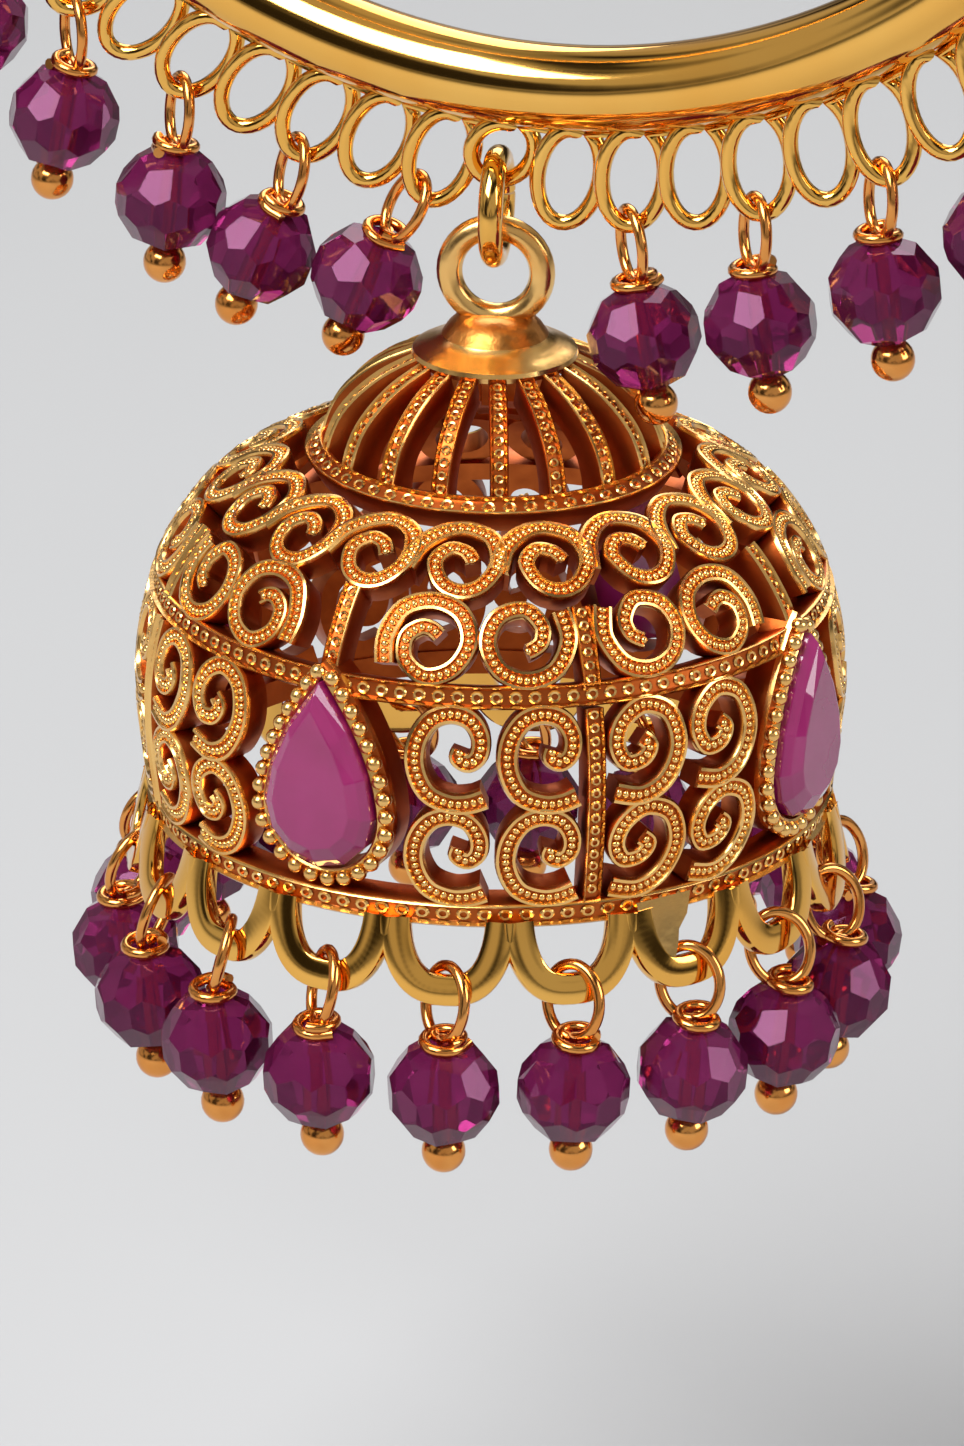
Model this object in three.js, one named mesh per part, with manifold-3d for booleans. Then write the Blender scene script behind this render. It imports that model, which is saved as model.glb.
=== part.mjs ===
// A jhumka earring: a round hoop edged with a coiled wire, from which a fringe of
// bead drops and, on a jump ring, a domed bell with its own fringe hang.
// Millimetres, +Z up, the front faces -Y. The origin is where the post leaves the lobe.
import * as THREE from 'three';
import { mergeVertices } from 'three/addons/utils/BufferGeometryUtils.js';
import Module from 'manifold-3d';

const wasm = await Module();
wasm.setup();

// Hoop, its coil and its post
const HOOP_RADIUS = 28.5;      // centre line of the tube
const HOOP_TUBE = 1.55;        // radius of the tube
const COIL_TURNS = 78;         // turns that a full circle of coil would have
const COIL_HALF_SPAN = 27;     // turns on each side of the lowest one
const COIL_OFFSET = 3.3;       // tube's centre line to the middle of a turn
const TURN_RADIUS = 1.05;      // round end of a turn, to the middle of its wire
const TURN_STRETCH = 0.75;     // what a turn is longer than round, each way
const TURN_YAW = 14;           // degrees that each turn stands out of the hoop's plane
const COIL_WIRE = 0.3;
const HUNG_TURN_SHORT = 1.3;   // what the lowest turn, which carries the jump ring, is shorter
const POST_RADIUS = 0.4;
const POST_LENGTH = 11;
const SLEEVE_RADIUS = 2.25;
const SLEEVE_LENGTH = 3;
const SLEEVE_PLAY = 0.12;      // between the sleeve and the tube
const POST_ROOT = 0.3;         // what the post is sunk in the sleeve

// Links
const FIT_GAP = 0.06;          // between pieces that hang on each other
const LINK_TURN = 18.5;        // degrees that the jump ring is turned out of the YZ plane
const JUMP_RADIUS = 1.8;
const JUMP_WIRE = 0.45;
const TOP_RING_RADIUS = 1.7;
const TOP_RING_WIRE = 0.5;

// Bell, with depths measured down from a datum inside its top ring
const BELL_DATUM = 1.55;       // from the top of the ring's centre line down to the datum
const BELL_TURN = -2;          // degrees that the bell hangs turned on its link
const WALL = 0.95;
const RIBS = 18;
const RIB_WIDTH = 0.72;
const WINDOW_NEAR = 3.45;      // cut between two ribs, from this radius to the next
const WINDOW_FAR = 7.2;
const WINDOW_DEPTH = 6.4;      // depth that the windows between the ribs go down to
const SCALLOPS = 18;
const SCALLOP_TURN = 1.5;      // degrees from a stone's middle to a scallop's
const SCALLOP_BAR = 0.57;
const SCALLOP_HALF_WIDTH = 1.9;
const SCALLOP_DEPTH = 2.6;
const SCALLOP_ROOT = 0.25;     // what a scallop's ends are sunk in the rim
const SCALLOP_LEAN = 14;
const RIM_DEPTH = 20.6;
const RIM_RADIUS = 12.45;
const STONES = 4;
const STONE_WIDTH = 4.4;
const STONE_HEIGHT = 7.1;
const STONE_DEPTH = 15.2;      // of the stone's middle
const STONE_SEAT = 12.6;       // from the bell's axis to the stone's back
const STONE_THICK = 1.35;
const BEZEL_RIM = 0.6;
const BEZEL_THICK = 0.75;

// Drops
const BEAD_RADIUS = 2;
const EYE_RADIUS = 1.1;        // round end of the wire eye, to the middle of its wire
const EYE_STRETCH = 0.25;
const EYE_WIRE = 0.25;
const EYE_SINK = 0.2;          // the eye's twisted end is sunk in the bead's hole
const BALL_RADIUS = 0.8;

// Solid neck under the top ring, down to the cap's edge.
const NECK_PROFILE = [
  { radius: 0, depth: 1.7 },
  { radius: 1.15, depth: 1.8 },
  { radius: 1.7, depth: 2.5 },
];
const CAP_UNDERSIDE = 4.1;

// Outer wall of the bell from its cap's edge to its rim band.
const BELL_PROFILE = [
  { radius: 3.0, depth: 3.15 },
  { radius: 4.2, depth: 3.7 },
  { radius: 5.15, depth: 4.4 },
  { radius: 5.85, depth: 5.2 },
  { radius: 6.25, depth: 6.1 },
  { radius: 6.4, depth: 6.95 },
  { radius: 7.8, depth: 7.35 },
  { radius: 9.2, depth: 8.0 },
  { radius: 10.5, depth: 8.95 },
  { radius: 11.5, depth: 10.2 },
  { radius: 12.2, depth: 11.6 },
  { radius: 12.8, depth: 14.0 },
  { radius: 12.9, depth: 16.5 },
  { radius: 12.55, depth: 19.5 },
];

// The hoop's drops. Leans are degrees towards +X: the drops beside the bell's neck
// rest against it and push their neighbours aside.
const HOOP_DROPS = [
  { turn: -11, eyeLean: 0, beadLean: 0 },
  { turn: -9, eyeLean: 0, beadLean: 0 },
  { turn: -7, eyeLean: 0, beadLean: -12 },
  { turn: -5, eyeLean: -7, beadLean: -6 },
  { turn: -3, eyeLean: -18, beadLean: -24 },
  { turn: -1, eyeLean: -36, beadLean: -22 },
  { turn: 2, eyeLean: 6, beadLean: 12 },
  { turn: 4, eyeLean: -2, beadLean: 10 },
  { turn: 6, eyeLean: -2, beadLean: 9 },
  { turn: 8, eyeLean: 0, beadLean: 4 },
  { turn: 10, eyeLean: 0, beadLean: 0 },
  { turn: 12, eyeLean: 0, beadLean: 0 },
];
const HOOP_EYE_YAW = 46;       // degrees that a hoop drop's eye is turned on its wire
const RIM_EYE_YAW = 45;
const RIM_EYE_LEAN = 20;       // outwards, from the scallop's bar to the bead
const RIM_BEAD_LEAN = -6;

const polishedGold = new THREE.MeshStandardMaterial({ color: '#e0a63a', roughness: 0.15, metalness: 1 });
const antiqueGold = new THREE.MeshStandardMaterial({ color: '#c08a3c', roughness: 0.4, metalness: 1 });
const wireGold = new THREE.MeshStandardMaterial({ color: '#d98a3a', roughness: 0.25, metalness: 1 });
const plumGlass = new THREE.MeshStandardMaterial({ color: '#5a1f48', roughness: 0.08, metalness: 0 });
const pinkStone = new THREE.MeshStandardMaterial({ color: '#a0447c', roughness: 0.1, metalness: 0 });

const radians = THREE.MathUtils.degToRad;

function toSolid(geometry) {
  const bare = geometry.clone();
  bare.deleteAttribute('normal');
  bare.deleteAttribute('uv');
  const merged = mergeVertices(bare, 1e-4);
  return new wasm.Manifold(new wasm.Mesh({
    numProp: 3,
    vertProperties: Float32Array.from(merged.attributes.position.array),
    triVerts: Uint32Array.from(merged.index.array),
  }));
}

function toGeometry(solid) {
  const mesh = solid.getMesh();
  const geometry = new THREE.BufferGeometry();
  geometry.setAttribute('position', new THREE.BufferAttribute(mesh.vertProperties, 3));
  geometry.setIndex(new THREE.BufferAttribute(mesh.triVerts, 1));
  return geometry;
}

function joined(geometries) {
  return geometries.map(toSolid).reduce((whole, piece) => whole.add(piece));
}

function pieceMesh(name, geometry, material) {
  const mesh = new THREE.Mesh(geometry, material);
  mesh.name = name;
  return mesh;
}

// Ring of wire in the XY plane, drawn out along Y by a stretch each way.
function longRing(radius, stretch, wire, sides, steps) {
  const ring = new THREE.TorusGeometry(radius, wire, sides, steps);
  ring.rotateZ(Math.PI / steps);
  const position = ring.attributes.position;
  for (let i = 0; i < position.count; i += 1) {
    position.setY(i, position.getY(i) + Math.sign(position.getY(i)) * stretch);
  }
  return ring;
}

// Round bar along a curve, with closed ends.
function bar(curve, radius, sides, steps) {
  const section = new THREE.Shape();
  for (let i = 0; i < sides; i += 1) {
    const angle = (2 * Math.PI * (i + 0.5)) / sides;
    section[i ? 'lineTo' : 'moveTo'](radius * Math.cos(angle), radius * Math.sin(angle));
  }
  return new THREE.ExtrudeGeometry(section, { steps, bevelEnabled: false, extrudePath: curve });
}

// Stands a shape drawn in XY upright, so that its Y points up and its Z to the front.
function upright(geometry) {
  return geometry.rotateX(Math.PI / 2);
}

// Puts a shape that faces the front round the bell, at an angle towards +X.
function aroundBell(geometry, azimuth, radius, depth) {
  return geometry.translate(0, -radius, -depth).rotateZ(radians(azimuth));
}

// --- hoop_frame: tube and soldered coil, drawn about the hoop's centre

function turnAngle(turn) {
  return (2 * Math.PI * turn) / COIL_TURNS;
}

const turnCircle = HOOP_RADIUS + COIL_OFFSET;

function coilTurn(turn) {
  const shorter = turn === 0 ? HUNG_TURN_SHORT / 2 : 0;
  const ring = longRing(TURN_RADIUS, TURN_STRETCH - shorter, COIL_WIRE, 3, 8);
  ring.rotateY(radians(TURN_YAW));
  ring.translate(0, shorter - turnCircle, 0);
  return ring.rotateZ(turnAngle(turn));
}

// Where a drop's eye hangs on the round lower end of a turn, which a leaning eye meets squarely.
function hookPoint(turn, eyeLean) {
  const angle = turnAngle(turn);
  const lean = radians(eyeLean);
  const reach = turnCircle + TURN_STRETCH;
  return new THREE.Vector3(
    reach * Math.sin(angle) + TURN_RADIUS * Math.sin(lean),
    0,
    -reach * Math.cos(angle) - TURN_RADIUS * Math.cos(lean),
  );
}

function hoopFrame() {
  const turns = [];
  for (let turn = -COIL_HALF_SPAN; turn <= COIL_HALF_SPAN; turn += 1) {
    turns.push(coilTurn(turn));
  }
  const tube = new THREE.TorusGeometry(HOOP_RADIUS, HOOP_TUBE, 8, 60);
  const frame = toGeometry(joined([tube, ...turns]));
  return pieceMesh('hoop_frame', upright(frame), polishedGold);
}

// --- ear_post: a sleeve pressed round the top of the tube, with a plain post behind it

function earPost() {
  const outline = [
    new THREE.Vector2(HOOP_TUBE + SLEEVE_PLAY, -SLEEVE_LENGTH / 2),
    new THREE.Vector2(SLEEVE_RADIUS, -SLEEVE_LENGTH / 2),
    new THREE.Vector2(SLEEVE_RADIUS, SLEEVE_LENGTH / 2),
    new THREE.Vector2(HOOP_TUBE + SLEEVE_PLAY, SLEEVE_LENGTH / 2),
    new THREE.Vector2(HOOP_TUBE + SLEEVE_PLAY, -SLEEVE_LENGTH / 2),
  ];
  const sleeve = new THREE.LatheGeometry(outline, 16).rotateZ(Math.PI / 2);
  const inside = SLEEVE_RADIUS - POST_ROOT;
  const post = new THREE.CylinderGeometry(POST_RADIUS, POST_RADIUS, POST_LENGTH, 10);
  post.translate(0, inside + POST_LENGTH / 2, 0);
  const tip = new THREE.ConeGeometry(POST_RADIUS, POST_RADIUS, 10);
  tip.translate(0, inside + POST_LENGTH + POST_RADIUS / 2, 0);
  return pieceMesh('ear_post', toGeometry(joined([sleeve, post, tip])), polishedGold);
}

// --- drop: a faceted glass bead on a wire head pin, drawn hanging from the origin. Its
// eye and its bead lean towards +X by their own angles.

function drop(name, hungBar, eyeYaw, eyeLean, beadLean) {
  const eyeTop = hungBar + EYE_WIRE + FIT_GAP;
  const eyeHalf = EYE_RADIUS + EYE_STRETCH;
  const eye = longRing(EYE_RADIUS, EYE_STRETCH, EYE_WIRE, 3, 8);
  upright(eye).rotateZ(Math.PI / 2 + radians(eyeYaw));
  eye.translate(0, 0, eyeTop - eyeHalf).rotateY(-radians(eyeLean));

  const bead = upright(new THREE.SphereGeometry(BEAD_RADIUS, 8, 4));
  bead.translate(0, 0, -BEAD_RADIUS);
  const ball = upright(new THREE.SphereGeometry(BALL_RADIUS, 6, 3));
  ball.translate(0, 0, -2 * BEAD_RADIUS - BALL_RADIUS * 0.7);
  const lean = radians(eyeLean);
  const beadTop = 2 * eyeHalf - eyeTop + EYE_WIRE - EYE_SINK;
  for (const shape of [bead, ball]) {
    shape.rotateY(-radians(beadLean));
    shape.translate(beadTop * Math.sin(lean), 0, -beadTop * Math.cos(lean));
  }
  return pieceMesh(name, toGeometry(joined([eye, bead, ball])), plumGlass);
}

// --- bell_dome: cast top ring, cap, ribs, filigree wall, bezels and scallops, one solid

function bellWall() {
  const outer = [
    ...[...NECK_PROFILE, ...BELL_PROFILE].map(({ radius, depth }) => new THREE.Vector2(radius, -depth)),
    new THREE.Vector2(RIM_RADIUS + 0.2, 0.1 - RIM_DEPTH),
    new THREE.Vector2(RIM_RADIUS, -RIM_DEPTH),
  ];
  const inner = BELL_PROFILE.filter((_, index) => index % 2 === 1).map(({ radius, depth }) => {
    const slope = Math.min(1, radius / 12.5);
    return new THREE.Vector2(radius - WALL * slope, -depth - WALL * (1 - slope * slope));
  });
  const profile = [
    ...outer,
    new THREE.Vector2(RIM_RADIUS - WALL, -RIM_DEPTH),
    ...inner.reverse(),
    new THREE.Vector2(0, -CAP_UNDERSIDE),
  ];
  return new THREE.LatheGeometry(profile.reverse(), 2 * RIBS);
}

// Opening between two ribs, as wide as the space that they leave, cut from above and outside.
function ribWindow(azimuth) {
  const half = (radius) => radius * Math.tan(Math.PI / RIBS) - RIB_WIDTH / 2;
  const plan = new THREE.Shape();
  plan.moveTo(-half(WINDOW_NEAR), -WINDOW_NEAR);
  plan.lineTo(half(WINDOW_NEAR), -WINDOW_NEAR);
  plan.lineTo(half(WINDOW_FAR), -WINDOW_FAR);
  plan.lineTo(-half(WINDOW_FAR), -WINDOW_FAR);
  const window = new THREE.ExtrudeGeometry(plan, { depth: WINDOW_DEPTH, bevelEnabled: false });
  return window.translate(0, 0, -WINDOW_DEPTH).rotateZ(radians(azimuth));
}

// Pear outline with its tip up, centred on its height.
function pear(width, height) {
  const round = width / 2;
  const low = round - height / 2;
  const outline = new THREE.Shape();
  outline.moveTo(0, height / 2);
  outline.quadraticCurveTo(-0.95 * round, 0.13 * height, -round, low);
  outline.absarc(0, low, round, Math.PI, 2 * Math.PI, false);
  outline.quadraticCurveTo(0.95 * round, 0.13 * height, 0, height / 2);
  return outline;
}

function bezelAndPocket(azimuth) {
  const growth = 2 * BEZEL_RIM;
  const rim = new THREE.ExtrudeGeometry(
    pear(STONE_WIDTH + growth, STONE_HEIGHT + 1.2 * growth),
    { depth: BEZEL_THICK + 1, bevelEnabled: false, curveSegments: 4 },
  ).translate(0, 0, -1);
  const pocket = new THREE.ExtrudeGeometry(
    pear(STONE_WIDTH + 2 * FIT_GAP, STONE_HEIGHT + 3 * FIT_GAP),
    { depth: BEZEL_THICK + 1, bevelEnabled: false, curveSegments: 4 },
  ).translate(0, 0, -FIT_GAP);
  return [rim, pocket].map((shape) => aroundBell(upright(shape), azimuth, STONE_SEAT, STONE_DEPTH));
}

function scallop(azimuth) {
  const curve = new THREE.EllipseCurve(0, 0, SCALLOP_HALF_WIDTH, SCALLOP_DEPTH, Math.PI, 2 * Math.PI);
  const points = curve.getPoints(8).map(({ x, y }) => new THREE.Vector3(x, y, 0));
  const loop = bar(new THREE.CatmullRomCurve3(points), SCALLOP_BAR, 4, 7);
  upright(loop).rotateX(-radians(SCALLOP_LEAN));
  return aroundBell(loop, azimuth, RIM_RADIUS, RIM_DEPTH - SCALLOP_ROOT);
}

const stoneAngles = Array.from({ length: STONES }, (_, i) => (360 * i) / STONES);
const scallopAngles = Array.from({ length: SCALLOPS }, (_, i) => SCALLOP_TURN + (360 * i) / SCALLOPS);

function bellDome() {
  const topRing = upright(new THREE.TorusGeometry(TOP_RING_RADIUS, TOP_RING_WIRE, 7, 14));
  topRing.rotateZ(radians(LINK_TURN - BELL_TURN));
  topRing.translate(0, 0, BELL_DATUM - TOP_RING_RADIUS);
  let dome = joined([upright(bellWall()), topRing, ...scallopAngles.map(scallop)]);
  for (let i = 0; i < RIBS; i += 1) {
    dome = dome.subtract(toSolid(ribWindow((360 * i) / RIBS)));
  }
  for (const azimuth of stoneAngles) {
    const [rim, pocket] = bezelAndPocket(azimuth).map(toSolid);
    dome = dome.add(rim).subtract(pocket);
  }
  return pieceMesh('bell_dome', toGeometry(dome), antiqueGold);
}

function pearStone(index) {
  const bevel = 0.45;
  const tipGrowth = 0.7 * bevel;
  const table = pear(STONE_WIDTH - 2 * bevel, STONE_HEIGHT - 2 * bevel - tipGrowth);
  const stone = new THREE.ExtrudeGeometry(table, {
    depth: STONE_THICK - bevel,
    bevelThickness: bevel,
    bevelSize: bevel,
    bevelSegments: 1,
    curveSegments: 4,
  }).translate(0, -tipGrowth / 2, 0);
  const girdle = toSolid(stone).trimByPlane([0, 0, 1], 0);
  const placed = aroundBell(upright(toGeometry(girdle)), stoneAngles[index], STONE_SEAT, STONE_DEPTH);
  return pieceMesh(`pear_stone_${index + 1}`, placed, pinkStone);
}

// Scallop's bar in the radial plane, where a rim drop's eye hangs.
function rimHook() {
  const lean = radians(SCALLOP_LEAN);
  return {
    radius: RIM_RADIUS + SCALLOP_DEPTH * Math.sin(lean),
    depth: RIM_DEPTH - SCALLOP_ROOT + SCALLOP_DEPTH * Math.cos(lean),
  };
}

function rimDrop(index) {
  const name = `rim_drop_${String(index + 1).padStart(2, '0')}`;
  const piece = drop(name, SCALLOP_BAR, 90 + RIM_EYE_YAW, RIM_EYE_LEAN, RIM_BEAD_LEAN);
  const { radius, depth } = rimHook();
  const azimuth = radians(scallopAngles[index]);
  piece.rotation.z = azimuth - Math.PI / 2;
  piece.position.set(radius * Math.sin(azimuth), -radius * Math.cos(azimuth), -depth);
  return piece;
}

// --- the assembly

const hoopCentre = -HOOP_RADIUS;
const turnBottom = hoopCentre + hookPoint(0, 0).z + HUNG_TURN_SHORT;
const jumpTop = turnBottom + COIL_WIRE + FIT_GAP + JUMP_WIRE;
const jumpCentre = jumpTop - JUMP_RADIUS;
const bellTop = jumpCentre - JUMP_RADIUS + JUMP_WIRE + FIT_GAP + TOP_RING_WIRE;

const hoop = new THREE.Group();
hoop.position.z = hoopCentre;
hoop.add(hoopFrame());
HOOP_DROPS.forEach(({ turn, eyeLean, beadLean }, index) => {
  const name = `hoop_drop_${String(index + 1).padStart(2, '0')}`;
  const piece = drop(name, COIL_WIRE, HOOP_EYE_YAW, eyeLean, beadLean);
  piece.position.copy(hookPoint(turn, eyeLean));
  hoop.add(piece);
});

const jumpRing = pieceMesh('jump_ring', new THREE.TorusGeometry(JUMP_RADIUS, JUMP_WIRE, 8, 18), polishedGold);
jumpRing.geometry.rotateY(Math.PI / 2);
jumpRing.rotation.z = radians(LINK_TURN);
jumpRing.position.z = jumpCentre;

const bell = new THREE.Group();
bell.position.z = bellTop - BELL_DATUM;
bell.rotation.z = radians(BELL_TURN);
bell.add(bellDome());
stoneAngles.forEach((_, index) => bell.add(pearStone(index)));
scallopAngles.forEach((_, index) => bell.add(rimDrop(index)));

const earring = new THREE.Group();
earring.position.y = -SLEEVE_RADIUS;
earring.add(earPost(), hoop, jumpRing, bell);

export default earring;
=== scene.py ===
"""A jhumka earring: a hoop edged with coiled wire and bead drops, and the bell that hangs on it."""
import math
from bisect import bisect_right

import bpy
from mathutils import Matrix, Vector


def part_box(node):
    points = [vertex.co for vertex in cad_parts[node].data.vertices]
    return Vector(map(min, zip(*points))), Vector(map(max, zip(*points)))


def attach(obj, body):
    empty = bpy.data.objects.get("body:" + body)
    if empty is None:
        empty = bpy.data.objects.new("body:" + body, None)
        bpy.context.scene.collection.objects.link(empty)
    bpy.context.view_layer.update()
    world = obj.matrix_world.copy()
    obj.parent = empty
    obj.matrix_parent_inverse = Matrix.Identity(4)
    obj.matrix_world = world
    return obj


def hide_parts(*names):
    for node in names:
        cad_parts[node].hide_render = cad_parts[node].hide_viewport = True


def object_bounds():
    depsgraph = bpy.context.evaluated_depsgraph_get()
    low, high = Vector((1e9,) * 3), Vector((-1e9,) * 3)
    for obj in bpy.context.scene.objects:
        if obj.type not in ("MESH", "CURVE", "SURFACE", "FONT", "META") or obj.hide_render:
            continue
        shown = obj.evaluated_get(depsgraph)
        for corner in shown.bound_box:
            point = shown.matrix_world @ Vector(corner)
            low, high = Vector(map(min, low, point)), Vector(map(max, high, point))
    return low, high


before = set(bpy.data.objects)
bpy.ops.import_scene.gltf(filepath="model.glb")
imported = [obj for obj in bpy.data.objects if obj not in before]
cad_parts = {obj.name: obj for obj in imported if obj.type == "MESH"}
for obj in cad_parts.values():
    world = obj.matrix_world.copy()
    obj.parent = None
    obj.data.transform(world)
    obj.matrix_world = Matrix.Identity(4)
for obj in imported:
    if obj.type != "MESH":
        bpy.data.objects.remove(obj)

cad_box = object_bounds()

# --- Hoop tube -------------------------------------------------------------------------
# A brass tube bent to a full circle, soldered shut, polished and plated with gold. The
# coil, the post and the fringe are all fixed to it.

MM = 0.001
HOOP_RADIUS = 28.5 * MM
HOOP_TUBE = 1.55 * MM

link_low, link_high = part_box("jump_ring")
frame_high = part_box("hoop_frame")[1]
link_centre = (Vector(link_low) + Vector(link_high)) / 2
hoop_centre = Vector((0, link_centre.y, frame_high[2] - HOOP_RADIUS - HOOP_TUBE))


def linear(hex_colour):
    """An sRGB hex colour as linear red, green, blue and alpha."""
    parts = [int(hex_colour[i:i + 2], 16) / 255 for i in (1, 3, 5)]
    return [c / 12.92 if c <= 0.04045 else ((c + 0.055) / 1.055) ** 2.4 for c in parts] + [1]


def add_node(material, kind, settings=None, links=None):
    """Adds a node, sets its own values and its sockets, and links sockets to outputs."""
    node = material.node_tree.nodes.new(kind)
    for name, value in (settings or {}).items():
        if isinstance(name, str) and hasattr(node, name):
            setattr(node, name, value)
        else:
            node.inputs[name].default_value = value
    for name, output in (links or {}).items():
        material.node_tree.links.new(output, node.inputs[name])
    return node


def finish_material(material, shader):
    """Sends this shader to the surface."""
    tree = material.node_tree
    output = next(n for n in tree.nodes if n.type == "OUTPUT_MATERIAL")
    tree.links.new(shader.outputs["BSDF"], output.inputs["Surface"])


def new_material(name):
    """A material with its nodes on and no shader yet."""
    material = bpy.data.materials.new(name)
    material.use_nodes = True
    nodes = material.node_tree.nodes
    nodes.remove(next(n for n in nodes if n.type == "BSDF_PRINCIPLED"))
    return material


def mottled(material, bright, deep, patch_mm, detail):
    """A colour that drifts between these two in patches, and the noise that it follows."""
    place = add_node(material, "ShaderNodeTexCoord").outputs["Object"]
    patches = add_node(material, "ShaderNodeTexNoise", {"Scale": 1000 / patch_mm, "Detail": detail},
                       {"Vector": place}).outputs["Fac"]
    colour = add_node(material, "ShaderNodeMix",
                      {"data_type": "RGBA", 6: linear(bright), 7: linear(deep)},
                      {"Factor": patches})
    return colour.outputs[2], patches


GLOSS_SPREAD = (0.7, 1.4)      # of a plate's roughness, between its shiny and its dull patches


def gold_material(name, bright, deep, roughness, patch_mm, dent_mm, dent_depth_mm):
    """Plated brass whose colour drifts in patches and whose polish has shallow dents."""
    gold = new_material(name)
    colour, patches = mottled(gold, bright, deep, patch_mm, 3)
    place = add_node(gold, "ShaderNodeTexCoord").outputs["Object"]
    shiny, dull = (roughness * share for share in GLOSS_SPREAD)
    gloss = add_node(gold, "ShaderNodeMapRange", {"To Min": shiny, "To Max": dull},
                     {"Value": patches})
    dents = add_node(gold, "ShaderNodeTexNoise", {"Scale": 1000 / dent_mm, "Detail": 2},
                     {"Vector": place})
    bump = add_node(gold, "ShaderNodeBump", {"Strength": 1.0, "Distance": dent_depth_mm * MM},
                    {"Height": dents.outputs["Fac"]})
    shader = add_node(gold, "ShaderNodeBsdfPrincipled", {"Metallic": 1},
                      {"Base Color": colour, "Roughness": gloss.outputs["Result"],
                       "Normal": bump.outputs["Normal"]})
    finish_material(gold, shader)
    return gold


# Gold-plated polished brass: mirror-like, with the faint waves that buffing leaves.
polished_gold = gold_material("gold_plate_polished", "#F6C468", "#E9A442", roughness=0.09,
                              patch_mm=6, dent_mm=3, dent_depth_mm=0.012)


def give(obj, *materials):
    """Puts these materials in the object's slots, keeping what slot each face uses."""
    while len(obj.data.materials) < len(materials):
        obj.data.materials.append(None)
    for index, material in enumerate(materials):
        obj.data.materials[index] = material
    return obj


def select_only(*objs):
    """Selects these objects and makes the first the active one."""
    bpy.ops.object.select_all(action="DESELECT")
    for obj in objs:
        obj.select_set(True)
    bpy.context.view_layer.objects.active = objs[0]


def smooth(obj, angle=40):
    """Shades smooth across the edges that turn less than this angle."""
    select_only(obj)
    bpy.ops.object.shade_smooth_by_angle(angle=math.radians(angle))
    return obj


def taken(name):
    """The active object, renamed."""
    obj = bpy.context.active_object
    obj.name = obj.data.name = name
    return obj


bpy.ops.object.select_all(action="DESELECT")
bpy.ops.mesh.primitive_torus_add(
    major_radius=HOOP_RADIUS, minor_radius=HOOP_TUBE, major_segments=240, minor_segments=32)
hoop_tube = taken("hoop_tube")
hoop_tube.data.transform(Matrix.Translation(hoop_centre) @ Matrix.Rotation(math.pi / 2, 4, "X"))
smooth(give(hoop_tube, polished_gold))
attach(hoop_tube, "hoop")
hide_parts("hoop_frame")

# --- Coil round the hoop ---------------------------------------------------------------
# One gold-plated wire wound in oval turns and laid over, so that each turn's left limb is
# in front of the turn before. The turns' tops are soldered to the tube's outer edge, and the
# lowest turn, which the jump ring hangs in, is squeezed short.

COIL_TURNS = 78            # that a full circle would hold
COIL_HALF_SPAN = 27        # turns on each side of the lowest one
COIL_OFFSET = 3.3 * MM     # from the tube's middle out to the turns' middles
COIL_WIRE = 0.3 * MM
TURN_HALF_WIDTH = 1.08 * MM
TURN_HALF_HEIGHT = 1.8 * MM
TURN_YAW = 14              # degrees that a turn stands out of the hoop's plane
TURN_START = 78            # degrees from the hoop's line at which a turn leaves the tube
TURN_SWEEP = 344           # degrees
TURN_STEPS = 30
TURN_RISE = 0.4 * MM       # from a turn's start in front to its end behind
TURN_SLANT = 0.17          # of a turn's height that its top stands to the right of its foot
HUNG_TURN_SHORT = 1.3 * MM

turn_circle = HOOP_RADIUS + COIL_OFFSET


def placed(name, data):
    """A new object of this data, in the scene."""
    obj = bpy.data.objects.new(name, data)
    bpy.context.scene.collection.objects.link(obj)
    return obj


def polyline(name, points, closed):
    """A line of straight steps through these points, as an object and its one spline."""
    line = bpy.data.curves.new(name, "CURVE")
    line.dimensions = "3D"
    line.use_fill_caps = not closed
    spline = line.splines.new("POLY")
    spline.points.add(len(points) - 1)
    for knot, point in zip(spline.points, points):
        knot.co = (*point, 1)
    spline.use_cyclic_u = closed
    return placed(name, line), spline


def wire(name, points, radius, closed=False, sides=3):
    """A round wire along these points, made a mesh."""
    obj, _ = polyline(name, points, closed)
    obj.data.bevel_depth = radius
    obj.data.bevel_resolution = sides
    select_only(obj)
    bpy.ops.object.convert(target="MESH")
    return taken(name)


def coil_turn(turn):
    """Centre line of one turn's wire, from its start over the top and down in front."""
    around = 2 * math.pi * turn / COIL_TURNS
    along = Vector((math.cos(around), 0, math.sin(around)))
    inward = Vector((-math.sin(around), 0, math.cos(around)))
    short = HUNG_TURN_SHORT / 2 if turn == 0 else 0
    middle = hoop_centre - inward * (turn_circle - short)
    line = []
    for step in range(TURN_STEPS + 1):
        part = step / TURN_STEPS
        phase = math.radians(TURN_START + TURN_SWEEP * part)
        side = TURN_HALF_WIDTH * math.cos(phase)
        depth = TURN_RISE * (part - 0.5) + side * math.sin(math.radians(TURN_YAW))
        rise = (TURN_HALF_HEIGHT - short) * math.sin(phase)
        slant = TURN_SLANT * (rise + TURN_HALF_HEIGHT - short)
        line.append(middle + along * (side + slant) + inward * rise + Vector((0, depth, 0)))
    return line


coil = wire("hoop_coil", [point for turn in range(-COIL_HALF_SPAN, COIL_HALF_SPAN + 1)
                          for point in coil_turn(turn)], COIL_WIRE)
smooth(give(coil, polished_gold), 60)
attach(coil, "hoop")

# --- Ear post --------------------------------------------------------------------------
# A brass sleeve pressed round the top of the tube, with a plain round post soldered to its
# back that goes through the lobe.

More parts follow.
